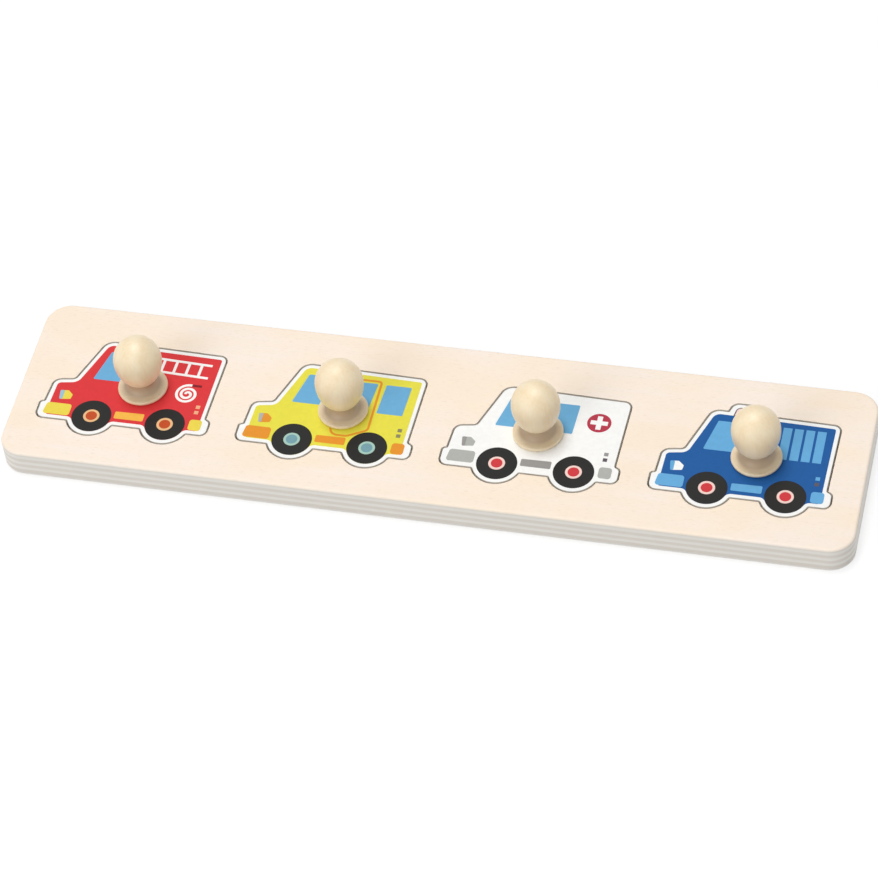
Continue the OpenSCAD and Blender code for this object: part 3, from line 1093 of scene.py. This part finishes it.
@dataclass(frozen=True)
class Knob:
    """A turned knob: a foot with a rounded rim, a cove, a neck and an egg.

    The facets are counted for the rim, the cove, the lower egg and the upper egg.
    """

    height: float = 23.8
    egg_d: float = 17.0
    egg_z: float = 14.7
    foot_d: float = 17.7
    foot_t: float = 1.6
    neck_d: float = 9.2
    neck_z: float = 5.2
    cove_share: float = 0.86
    rim_degrees: float = 60.0
    pilot_d: float = 3.1
    pilot_h: float = 8.9
    facets: tuple[int, int, int, int] = (20, 18, 24, 30)
    smooth_degrees: float = 50.0

    def profile(self) -> list[Point]:
        """Draws half the knob's outline.

        Returns:
            Radii and heights, from the pilot hole round to the egg's top.
        """
        rim, foot, neck, egg = self.foot_t / 2, self.foot_d / 2, self.neck_d / 2, self.egg_d / 2
        rim_facets, cove_facets, lower_facets, upper_facets = self.facets
        end = math.radians(self.rim_degrees)
        shoulder = foot - rim * (1 - math.cos(end))
        shoulder_z = rim + rim * math.sin(end)
        rise = self.neck_z - shoulder_z
        pilot = self.pilot_d / 2
        found = [(0.0, self.pilot_h), (pilot, self.pilot_h), (pilot, 0.0)]
        for k in range(rim_facets + 1):
            a = -math.pi / 2 + (end + math.pi / 2) * k / rim_facets
            found.append((foot - rim + rim * math.cos(a), rim + rim * math.sin(a)))
        for k in range(1, cove_facets + 1):
            a = math.pi / 2 * k / cove_facets
            reach = (shoulder - neck) * (1 - math.sin(a)) * self.cove_share
            found.append((neck + reach, shoulder_z + rise * (1 - math.cos(a))))
        drop = self.egg_z - self.neck_z
        lower = drop / math.sqrt(1 - (neck / egg) ** 2)
        for k in range(1, lower_facets + 1):
            z = self.neck_z + drop * k / lower_facets
            found.append((egg * math.sqrt(1 - ((self.egg_z - z) / lower) ** 2), z))
        for k in range(1, upper_facets):
            a = math.pi / 2 * k / upper_facets
            z = self.egg_z + (self.height - self.egg_z) * math.sin(a)
            found.append((egg * math.cos(a), z))
        return found + [(0.0, self.height)]

    def build(self, name: str, place: Vector, turned: float) -> Object:
        """Builds the knob.

        Args:
            name: The piece's name.
            place: The middle of its foot, in metres.
            turned: How far the wood is turned round the knob's axis, in degrees.

        Returns:
            The knob, standing at its place.
        """
        piece = lathe(self.profile()).finish(name, self.smooth_degrees)
        piece.location = place
        piece.rotation_euler.z = math.radians(turned)
        return piece


@dataclass(frozen=True)
class Patch:
    """One printed patch: its outline, its ink, and how many inks deep it lies."""

    points: list[Point]
    ink: Ink
    depth: int
    holes: tuple[list[Point], ...] = ()


@dataclass(frozen=True)
class Livery:
    """The inks of the patches that every picture has.

    The tail lamps are the upper and the lower one, and the wheels the hub ring and the hub.
    """

    body: Ink
    bumpers: Ink
    sill: Ink
    window: Ink
    lamp: Ink
    glass: Ink
    tail_lamps: tuple[Ink, Ink]
    wheels: tuple[Ink, Ink]


LIVERIES = {
    Model.FIRE_ENGINE: Livery(
        body=Ink.FIRE_RED,
        bumpers=Ink.BUMPER_YELLOW,
        sill=Ink.AMBER,
        window=Ink.WINDOW_BLUE,
        lamp=Ink.BUMPER_YELLOW,
        glass=Ink.LAMP_BLUE,
        tail_lamps=(Ink.PEACH, Ink.PEACH),
        wheels=(Ink.HUB_CREAM, Ink.HUB_RUST),
    ),
    Model.YELLOW_VAN: Livery(
        body=Ink.VAN_YELLOW,
        bumpers=Ink.ORANGE,
        sill=Ink.ORANGE,
        window=Ink.WINDOW_BLUE,
        lamp=Ink.ORANGE,
        glass=Ink.GREY,
        tail_lamps=(Ink.OLIVE, Ink.OLIVE),
        wheels=(Ink.HUB_MINT, Ink.HUB_TEAL),
    ),
    Model.AMBULANCE: Livery(
        body=Ink.WHITE,
        bumpers=Ink.GREY,
        sill=Ink.MIDDLE_GREY,
        window=Ink.WINDOW_BLUE,
        lamp=Ink.GREY,
        glass=Ink.MIDDLE_GREY,
        tail_lamps=(Ink.MIDDLE_GREY, Ink.DARK_GREY),
        wheels=(Ink.HUB_PINK, Ink.HUB_RED),
    ),
    Model.BLUE_TRUCK: Livery(
        body=Ink.TRUCK_BLUE,
        bumpers=Ink.PALE_BLUE,
        sill=Ink.PALE_BLUE,
        window=Ink.PALE_BLUE,
        lamp=Ink.WHITE,
        glass=Ink.PALE_BLUE,
        tail_lamps=(Ink.PALE_BLUE, Ink.DARK_GREY),
        wheels=(Ink.HUB_PINK, Ink.HUB_RED),
    ),
}


@dataclass(frozen=True)
class Artwork:
    """The patches of the four pictures, drawn from the centre of the front wheel.

    Places are shares of the vehicle's length and of its body's height.
    """

    shape: VehicleShape
    bumper_radius: float = 0.03
    ladder_bar: float = 1.0
    ladder_end: float = 3.2
    ladder_lean: float = 2.3
    ladder_shares: Shares = ((0.565, 0.7), (0.909, 0.884))
    rungs: int = 4
    hose_shares: Point = (0.821, 0.469)
    hose_r: float = 4.7
    hose_w: float = 1.0
    hose_turns: float = 2.25
    hose_step_degrees: float = 6.0
    nozzle_shares: Pair = (0.835, 0.892)
    door_line: float = 0.8
    beacon_line: float = 0.4
    disc_shares: Point = (0.828, 0.69)
    disc_r: float = 4.2
    cross_w: float = 1.8
    cross_share: float = 0.72
    slat_shares: Shares = ((0.606, 0.507), (0.91, 0.887))
    slats: int = 5
    slat_gap: float = 0.9
    tail_lamp_shares: Triple = (0.91, 0.326, 0.259)
    tail_lamp_side: float = 1.5

    def patches(self, model: Model) -> list[Patch]:
        """Lays out a picture.

        Args:
            model: The vehicle that it shows.

        Returns:
            Its patches in the order in which they are printed.
        """
        shape, inks = self.shape, LIVERIES[model]
        own = {
            Model.FIRE_ENGINE: self._ladder_and_hose,
            Model.YELLOW_VAN: self._windows_and_door,
            Model.AMBULANCE: self._window_and_cross,
            Model.BLUE_TRUCK: self._bed,
        }[model]
        found = [
            Patch(shape.outline(model).points(), Ink.WHITE, 0),
            Patch(shape.painted().points(-shape.border), inks.body, 1),
        ]
        if model is Model.BLUE_TRUCK:
            found += self._beacon()
        return found + self._trims(inks) + own() + self._lamps(inks) + self._wheels(inks)

    def _trims(self, inks: Livery) -> list[Patch]:
        """Lays out the bumpers, the sill and the cab's window.

        Args:
            inks: The vehicle's inks.

        Returns:
            The front bumper, the sill, the rear bumper and the window.
        """
        front = ((0.028, 0.044), (0.186, 0.044), (0.186, 0.184), (0.04, 0.184))
        sill = ((0.449, 0.076), (0.621, 0.076), (0.621, 0.165), (0.449, 0.16))
        rear = ((0.89, 0.039), (0.963, 0.039), (0.963, 0.17), (0.89, 0.17))
        window = ((0.251, 0.527), (0.473, 0.527), (0.473, 0.883), (0.304, 0.883))
        return [
            Patch(self.shape.patch(front, self.bumper_radius), inks.bumpers, 2),
            Patch(self.shape.patch(sill), inks.sill, 2),
            Patch(self.shape.patch(rear, self.bumper_radius), inks.bumpers, 2),
            Patch(self.shape.patch(window), inks.window, 2),
        ]

    def _lamps(self, inks: Livery) -> list[Patch]:
        """Lays out the lamps.

        Args:
            inks: The vehicle's inks.

        Returns:
            The headlamp with its glass, and the two small lamps at the rear.
        """
        whole = ((0.098, 0.234), (0.163, 0.249), (0.168, 0.303), (0.137, 0.351), (0.088, 0.344))
        glass = ((0.098, 0.234), (0.115, 0.238), (0.115, 0.348), (0.088, 0.344))
        found = [
            Patch(self.shape.patch(whole), inks.lamp, 2),
            Patch(self.shape.patch(glass), inks.glass, 3),
        ]
        half = self.tail_lamp_side / 2
        x_share, *y_shares = self.tail_lamp_shares
        x = self.shape.along(x_share)
        for share, ink in zip(y_shares, inks.tail_lamps):
            y = self.shape.up(share)
            found.append(Patch(rectangle(x - half, y - half, x + half, y + half), ink, 2))
        return found

    def _wheels(self, inks: Livery) -> list[Patch]:
        """Lays out the wheels.

        Args:
            inks: The vehicle's inks.

        Returns:
            Both tyres, both hub rings and both hubs.
        """
        s, (ring, hub) = self.shape, inks.wheels
        sizes = ((s.tyre_r, Ink.TYRE_BLACK, 2), (s.hub_ring_r, ring, 3), (s.hub_r, hub, 4))
        return [
            Patch(circle(x, 0, radius), ink, depth)
            for radius, ink, depth in sizes
            for x in (0, s.wheelbase)
        ]

    def _ladder_and_hose(self) -> list[Patch]:
        """Lays out what only the fire engine has.

        Returns:
            The ladder, the coiled hose, its straight end and its nozzle.
        """
        x, y = self.shape.along(self.hose_shares[0]), self.shape.up(self.hose_shares[1])
        end, tip = (self.shape.along(share) for share in self.nozzle_shares)
        top = y + self.hose_r
        return [Patch(points, Ink.WHITE, 2) for points in self._ladder()] + [
            Patch(self._coil(x, y), Ink.WHITE, 2),
            Patch(rectangle(x, top - self.hose_w, end, top), Ink.WHITE, 2),
            Patch(rectangle(end, top - self.hose_w, tip, top), Ink.NOZZLE_RED, 2),
        ]

    def _area(self, shares: Shares) -> tuple[float, float, float, float]:
        """Returns the left, lower, right and upper side of an area from two corners' shares."""
        (x0, y0), (x1, y1) = shares
        return self.shape.along(x0), self.shape.up(y0), self.shape.along(x1), self.shape.up(y1)

    def _ladder(self) -> list[list[Point]]:
        """Draws the ladder, which is a little lower at the rear.

        Returns:
            Its two rails and its rungs.
        """
        x0, y0, x1, y1 = self._area(self.ladder_shares)
        length, height, bar = x1 - x0, y1 - y0, self.ladder_bar
        lean = math.radians(self.ladder_lean)
        step = (length - bar - 2 * self.ladder_end) / (self.rungs - 1)
        bars = [rectangle(0, y, length, y + bar) for y in (0, height - bar)]
        for k in range(self.rungs):
            x = self.ladder_end + k * step
            bars.append(rectangle(x, 0, x + bar, height))
        right, up = math.cos(lean), math.sin(lean)
        return [
            [(x0 + x * right + y * up, y0 - x * up + y * right) for x, y in points]
            for points in bars
        ]

    def _coil(self, x: float, y: float) -> list[Point]:
        """Returns the flat coil of hose, wound outwards from its middle.

        Args:
            x: The coil's middle along the vehicle.
            y: The coil's middle up the body.

        Returns:
            The coil's outline.
        """
        steps = math.ceil(self.hose_turns * 360 / self.hose_step_degrees)
        half = self.hose_w / 2
        inner, outer = half, self.hose_r - half

        def at(k: int, off: float) -> Point:
            """Finds a point of the coil.

            Args:
                k: The step along the coil.
                off: How far the point lies off the coil's middle line.

            Returns:
                The point.
            """
            part = k / steps
            angle = math.radians(90 + 360 * self.hose_turns * (1 - part))
            radius = inner + (outer - inner) * part + off
            return x + radius * math.cos(angle), y + radius * math.sin(angle)

        there = [at(k, half) for k in range(steps + 1)]
        return there + [at(k, -half) for k in range(steps, -1, -1)]

    def _windows_and_door(self) -> list[Patch]:
        """Lays out what only the yellow van has.

        Returns:
            Its two other windows, and the line round its door.
        """
        middle = ((0.543, 0.535), (0.696, 0.535), (0.712, 0.859), (0.543, 0.859))
        rear = ((0.748, 0.503), (0.899, 0.503), (0.908, 0.857), (0.761, 0.857))
        foot = ((0.517, 0.188, 0.08), (0.618, 0.188, 0.08), (0.729, 0.285, 0.05))
        head = ((0.729, 0.89, 0.03), (0.517, 0.89, 0.03))
        door = Outline(tuple(self.shape.corners(*foot, *head)))
        half = self.door_line / 2
        return [
            Patch(self.shape.patch(middle), Ink.WINDOW_BLUE, 2),
            Patch(self.shape.patch(rear), Ink.WINDOW_BLUE, 2),
            Patch(door.points(half), Ink.ORANGE, 2, (door.points(-half),)),
        ]

    def _window_and_cross(self) -> list[Patch]:
        """Lays out what only the ambulance has.

        Returns:
            Its second window, and its red disc with a white cross.
        """
        window = ((0.53, 0.524), (0.692, 0.524), (0.7, 0.875), (0.53, 0.875))
        x, y = self.shape.along(self.disc_shares[0]), self.shape.up(self.disc_shares[1])
        arm, half = self.disc_r * self.cross_share, self.cross_w / 2
        return [
            Patch(self.shape.patch(window), Ink.WINDOW_BLUE, 2),
            Patch(circle(x, y, self.disc_r), Ink.DISC_RED, 2),
            Patch(rectangle(x - arm, y - half, x + arm, y + half), Ink.WHITE, 3),
            Patch(rectangle(x - half, y - arm, x + half, y + arm), Ink.WHITE, 3),
        ]

    def _beacon(self) -> list[Patch]:
        """Lays out the blue truck's beacon.

        Returns:
            A dark line, and the pale lamp inside it.
        """
        border = self.shape.border
        beacon = Outline(tuple(self.shape.beacon(2 * border)))
        return [
            Patch(beacon.points(-border), Ink.DARK_GREY, 2),
            Patch(beacon.points(-border - self.beacon_line), Ink.HUB_PINK, 3),
        ]

    def _bed(self) -> list[Patch]:
        """Lays out the blue truck's bed.

        Returns:
            The slats of the bed.
        """
        x0, y0, x1, y1 = self._area(self.slat_shares)
        step = (x1 - x0 + self.slat_gap) / self.slats
        starts = [x0 + k * step for k in range(self.slats + 1)]
        return [
            Patch(rectangle(left, y0, right - self.slat_gap, y1), Ink.PALE_BLUE, 2)
            for left, right in zip(starts, starts[1:])
        ]


@dataclass(frozen=True)
class Picture:
    """A printed picture as one closed relief, each patch as high as its inks lie deep."""

    base: float = 10.1
    ground_t: float = 0.15
    ink_t: float = 0.05
    hole_d: float = 3.1
    hole_facets: int = 48
    foot_d: float = 17.7
    foot_facets: int = 96

    def build(self, name: str, patches: list[Patch], knob: Point) -> tuple[Object, list[Ink]]:
        """Builds the relief.

        The patches are cut along each other's outlines into small triangles. Each triangle
        takes the ink that was printed last over it and stands as high as that ink, walls close
        the steps between them, and the underside is flat.

        Args:
            name: The piece's name.
            patches: The patches in the order in which they are printed.
            knob: The place of the knob, under which no second ink is printed.

        Returns:
            The piece, and its inks in the order of its faces' indices.
        """
        points, triangles, above = self._cut(patches, knob)
        shell = Shell()
        levels: dict[tuple[int, int], bmesh.types.BMVert] = {}

        def vert(i: int, level: int) -> bmesh.types.BMVert:
            """Finds a vertex, and makes it the first time.

            Args:
                i: The point that it stands over.
                level: Its level, which is -1 at the underside.

            Returns:
                The vertex.
            """
            if (i, level) not in levels:
                z = self.base if level < 0 else self.base + self.ground_t + level * self.ink_t
                levels[i, level] = shell.bm.verts.new((*points[i], z))
            return levels[i, level]

        inks = sorted({ink for ink, _ in above}, key=list(Ink).index)
        sides: dict[tuple[int, int], int] = {}
        for number, (a, b, c) in enumerate(triangles):
            ink, depth = above[number]
            face = shell.bm.faces.new((vert(a, depth), vert(b, depth), vert(c, depth)))
            face.material_index = inks.index(ink)
            shell.bm.faces.new((vert(c, -1), vert(b, -1), vert(a, -1)))
            for side in ((a, b), (b, c), (c, a)):
                sides[side] = number
        for (a, b), number in sides.items():
            ink, depth = above[number]
            lower = above[sides[b, a]][1] if (b, a) in sides else -1
            for level in range(lower, depth):
                quad = (vert(a, level), vert(b, level), vert(b, level + 1), vert(a, level + 1))
                shown = ink if level >= 0 else Ink.WHITE
                shell.bm.faces.new(quad).material_index = inks.index(shown)
        return shell.finish(name), inks

    def _cut(
        self, patches: list[Patch], knob: Point
    ) -> tuple[list[Point], list[Triangle], list[tuple[Ink, int]]]:
        """Cuts the picture into triangles that no patch's outline crosses.

        Args:
            patches: The patches in the order in which they are printed.
            knob: The place of the knob.

        Returns:
            The points, the triangles, and each triangle's ink and depth.
        """
        # The screw's hole is loop 0 and the knob's foot loop 1, and the patches' loops follow
        loops = [
            circle(*knob, self.hole_d / 2, self.hole_facets),
            circle(*knob, self.foot_d / 2, self.foot_facets),
        ]
        owners: list[tuple[int, bool]] = []
        for number, patch in enumerate(patches):
            loops += [patch.points, *patch.holes]
            owners += [(number, False)] + [(number, True)] * len(patch.holes)
        coordinates, faces = [], []
        for loop in loops:
            faces.append(list(range(len(coordinates), len(coordinates) + len(loop))))
            coordinates += [Vector(p) for p in anticlockwise(loop)]
        cut = delaunay_2d_cdt(coordinates, [], faces, 1, SAME_PRINT_POINT_MM)
        triangles, above = [], []
        for triangle, inside in zip(cut[2], cut[5]):
            if 0 in inside:
                continue
            around = [owners[n - 2] for n in inside if n > 1]
            held = {number for number, is_hole in around if not is_hole}
            held -= {number for number, is_hole in around if is_hole}
            ink, depth = Ink.WHITE, 0
            for number in sorted(held):
                patch = patches[number]
                if patch.depth >= depth and not (1 in inside and patch.depth > 1):
                    ink, depth = patch.ink, patch.depth
            if held:
                triangles.append(tuple(triangle))
                above.append((ink, depth))
        return [(v.x, v.y) for v in cut[0]], triangles, above


@dataclass(frozen=True)
class Vehicle:
    """One vehicle of the puzzle: its block, its picture, its knob and its screw."""

    model: Model
    tray: Tray
    knob_shares: Point
    grain_turn: float
    block: Block = Block()
    knob: Knob = Knob()
    picture: Picture = Picture()

    def build(self, finishes: Finishes, nodes: dict[str, Object]) -> None:
        """Builds the vehicle's pieces and sets them on its body.

        Args:
            finishes: The puzzle's materials.
            nodes: The CAD nodes by name.
        """
        body, shape, tray = self.model.value, self.tray.shape, self.tray
        origin = Vector((*tray.place(self.model), 0)) * MM
        foot = (shape.along(self.knob_shares[0]), shape.up(self.knob_shares[1]))
        outline = shape.outline(self.model)
        block = self.block.build(f"{body}_plywood", outline, foot, tray.backing_t)
        block.data.transform(Matrix.Translation(origin))
        set_in_place(block, body, f"{body}_block", [finishes.plywood])
        patches = Artwork(shape).patches(self.model)
        picture, inks = self.picture.build(f"{body}_picture", patches, foot)
        picture.data.transform(Matrix.Translation(origin))
        materials = [finishes.ink(ink) for ink in inks]
        set_in_place(picture, body, f"{body}_print", materials)
        place = origin + Vector((*foot, tray.top)) * MM
        knob = self.knob.build(f"{body}_turned_knob", place, self.grain_turn)
        set_in_place(knob, body, f"{body}_knob", [finishes.turned])
        screw = nodes[f"{body}_screw"]
        screw.data.materials.clear()
        screw.data.materials.append(finishes.steel)
        LOG.info("%s keeps its CAD solid", screw.name)


# The studio


@dataclass(frozen=True)
class Softbox:
    """A square soft lamp that hangs at a distance from the tray and faces it."""

    name: str
    azimuth: float
    elevation: float
    size: float
    watts: float
    distance: float = 3.0

    def build(self) -> None:
        """Hangs the lamp."""
        a, e = math.radians(self.azimuth), math.radians(self.elevation)
        place = Vector((math.cos(a) * math.cos(e), math.sin(a) * math.cos(e), math.sin(e)))
        data = bpy.data.lights.new(self.name, "AREA")
        data.shape, data.size, data.energy = "SQUARE", self.size, self.watts
        lamp = bpy.data.objects.new(self.name, data)
        lamp.location = place * self.distance
        lamp.rotation_euler = (-place).to_track_quat("-Z", "Y").to_euler()
        bpy.context.scene.collection.objects.link(lamp)


@dataclass(frozen=True)
class Studio:
    """A white floor, a softbox overhead, a weaker one at the front left, and a dim white sky.

    What the camera sees, or sees mirrored, is white. What lights the object is dimmer.
    """

    lamps: tuple[Softbox, ...] = (
        Softbox("key softbox", azimuth=135.0, elevation=81.0, size=0.95, watts=42.5),
        Softbox("fill softbox", azimuth=240.0, elevation=34.0, size=1.5, watts=22.0),
    )
    sky: float = 0.37
    seen_sky: float = 1.0
    floor_size: float = 12.0
    paper: str = "#D9D9D9"
    seen_paper: str = "#9A9A9A"
    seen_glow: float = 0.72

    def build(self) -> None:
        """Builds the floor, the lamps and the world."""
        self._floor()
        for lamp in self.lamps:
            lamp.build()
        self._world()
        bpy.context.scene.view_settings.view_transform = "Standard"

    def _seen(self, tree: Tree) -> Node:
        """Tells what the camera sees from what only lights the object.

        Args:
            tree: The node tree of the floor or the world.

        Returns:
            One where the camera looks, straight, mirrored or through glass.
        """
        rays = add_node(tree, "LightPath").outputs
        seen = rays["Is Camera Ray"]
        for other in ("Is Glossy Ray", "Is Transmission Ray"):
            seen = add_node(tree, "Math", {0: seen, 1: rays[other]}, operation="MAXIMUM")
        return seen

    def _floor(self) -> None:
        """Lays the floor of matt paper, which shows white with the object's shadow on it."""
        half = self.floor_size / 2
        corners = [(x, y, 0) for x, y in rectangle(-half, -half, half, half)]
        mesh = bpy.data.meshes.new("floor")
        mesh.from_pydata(corners, [], [(0, 1, 2, 3)])
        floor = bpy.data.objects.new("floor", mesh)
        bpy.context.scene.collection.objects.link(floor)
        material, tree = new_material("paper, matt, white")
        matt = add_node(tree, "BsdfDiffuse", {"Color": srgb(self.paper)})
        shaded = add_node(tree, "BsdfDiffuse", {"Color": srgb(self.seen_paper)})
        glow = add_node(tree, "Emission", {"Strength": self.seen_glow})
        lit = add_node(tree, "AddShader", {0: shaded, 1: glow})
        mix = add_node(tree, "MixShader", {0: self._seen(tree), 1: matt, 2: lit})
        add_node(tree, "OutputMaterial", {0: mix})
        mesh.materials.append(material)

    def _world(self) -> None:
        """Sets a white sky that lights evenly and shows as plain white."""
        world = bpy.data.worlds.new("studio")
        world.use_nodes = True
        tree = world.node_tree
        tree.nodes.clear()
        seen = {0: self._seen(tree), 3: self.sky, 4: self.seen_sky}
        strength = add_node(tree, "MapRange", seen)
        white = {"Color": (1.0, 1.0, 1.0, 1.0), "Strength": strength}
        add_node(tree, "OutputWorld", {0: add_node(tree, "Background", white)})
        bpy.context.scene.world = world


@dataclass(frozen=True)
class Camera:
    """The camera, placed as the photograph's was: it looks at the tray from the front right."""

    azimuth: float = 17.831
    elevation: float = 49.042
    roll: float = -7.041
    distance_mm: float = 1257.57
    right_mm: float = 0.484
    up_mm: float = 1.076
    lens_mm: float = 148.07
    sensor_mm: float = 36.0
    clip: Pair = (0.01, 20.0)

    def build(self) -> None:
        """Makes the camera and gives it to the scene."""
        a, e, roll = (math.radians(v) for v in (self.azimuth, self.elevation, self.roll))
        back = Vector((math.sin(a) * math.cos(e), -math.cos(a) * math.cos(e), math.sin(e)))
        right = Vector((math.cos(a), math.sin(a), 0))
        up = back.cross(right)
        place = (back * self.distance_mm + right * self.right_mm + up * self.up_mm) * MM
        turned_right = math.cos(roll) * right + math.sin(roll) * up
        turned_up = -math.sin(roll) * right + math.cos(roll) * up
        data = bpy.data.cameras.new("camera")
        data.lens, data.sensor_width = self.lens_mm, self.sensor_mm
        data.clip_start, data.clip_end = self.clip
        camera = bpy.data.objects.new("camera", data)
        axes = Matrix((turned_right, turned_up, back)).transposed().to_4x4()
        camera.matrix_world = Matrix.Translation(place) @ axes
        bpy.context.scene.collection.objects.link(camera)
        bpy.context.scene.camera = camera


def main() -> None:
    """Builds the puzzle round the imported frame, piece by piece, and lights it."""
    logging.basicConfig(level=logging.INFO, format="%(name)s: %(message)s")
    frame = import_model()
    finishes = Finishes()
    tray = Tray(VehicleShape())
    panels = (tray.build_backing(), "backing_board"), (tray.build_frame(), "frame_board")
    for panel, node in panels:
        set_in_place(panel, "board", node, [finishes.plywood])
    for model, knob_shares, grain_turn in (
        (Model.FIRE_ENGINE, (0.558, 0.49), 20.0),
        (Model.YELLOW_VAN, (0.56, 0.485), 145.0),
        (Model.AMBULANCE, (0.503, 0.49), 250.0),
        (Model.BLUE_TRUCK, (0.556, 0.484), 310.0),
    ):
        Vehicle(model, tray, knob_shares, grain_turn).build(finishes, frame["nodes"])
    Studio().build()
    Camera().build()


if __name__ == "__main__":
    main()
